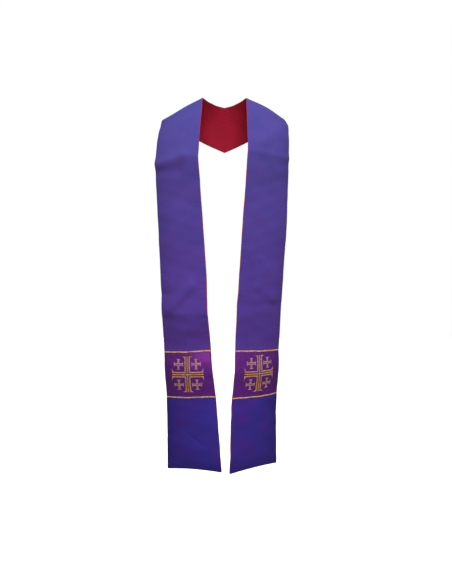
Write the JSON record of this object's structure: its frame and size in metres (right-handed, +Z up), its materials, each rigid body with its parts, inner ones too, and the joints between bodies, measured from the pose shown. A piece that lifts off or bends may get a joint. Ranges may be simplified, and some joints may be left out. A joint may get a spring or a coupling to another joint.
{
  "type": "clerical stole",
  "caption": "Purple clerical stole in its worn form: two long panels joined at the nape, each with a satin band, gold braid and an embroidered Jerusalem cross.",
  "frame": {"origin": "inner edge of the centre-back seam, on the body side of the cloth, where the nape of the wearer's neck carries the stole", "axes": "+Z up, the wearer faces -Y, +X is the wearer's left"},
  "size_m": [0.4336, 0.2551, 1.2206],
  "materials": {
    "purple_cloth": "fine plain-woven violet polyester with a low soft sheen",
    "magenta_satin": "magenta-purple satin",
    "gold_braid": "narrow woven braid of gold-coloured yarn",
    "gold_embroidery": "dense machine embroidery in antique gold thread",
    "red_lining": "plain crimson lining cloth"
  },
  "bodies": {
    "root": {"right_upper": "purple_cloth", "right_band": "magenta_satin", "right_end": "purple_cloth", "right_braid_top": "gold_braid", "right_braid_bottom": "gold_braid", "right_lining": "red_lining", "right_cross": "gold_embroidery", "right_crosslet_upper_inner": "gold_embroidery", "right_crosslet_upper_outer": "gold_embroidery", "right_crosslet_lower_inner": "gold_embroidery", "right_crosslet_lower_outer": "gold_embroidery", "left_upper": "purple_cloth", "left_band": "magenta_satin", "left_end": "purple_cloth", "left_braid_top": "gold_braid", "left_braid_bottom": "gold_braid", "left_lining": "red_lining", "left_cross": "gold_embroidery", "left_crosslet_upper_inner": "gold_embroidery", "left_crosslet_upper_outer": "gold_embroidery", "left_crosslet_lower_inner": "gold_embroidery", "left_crosslet_lower_outer": "gold_embroidery"}
  },
  "joints": []
}
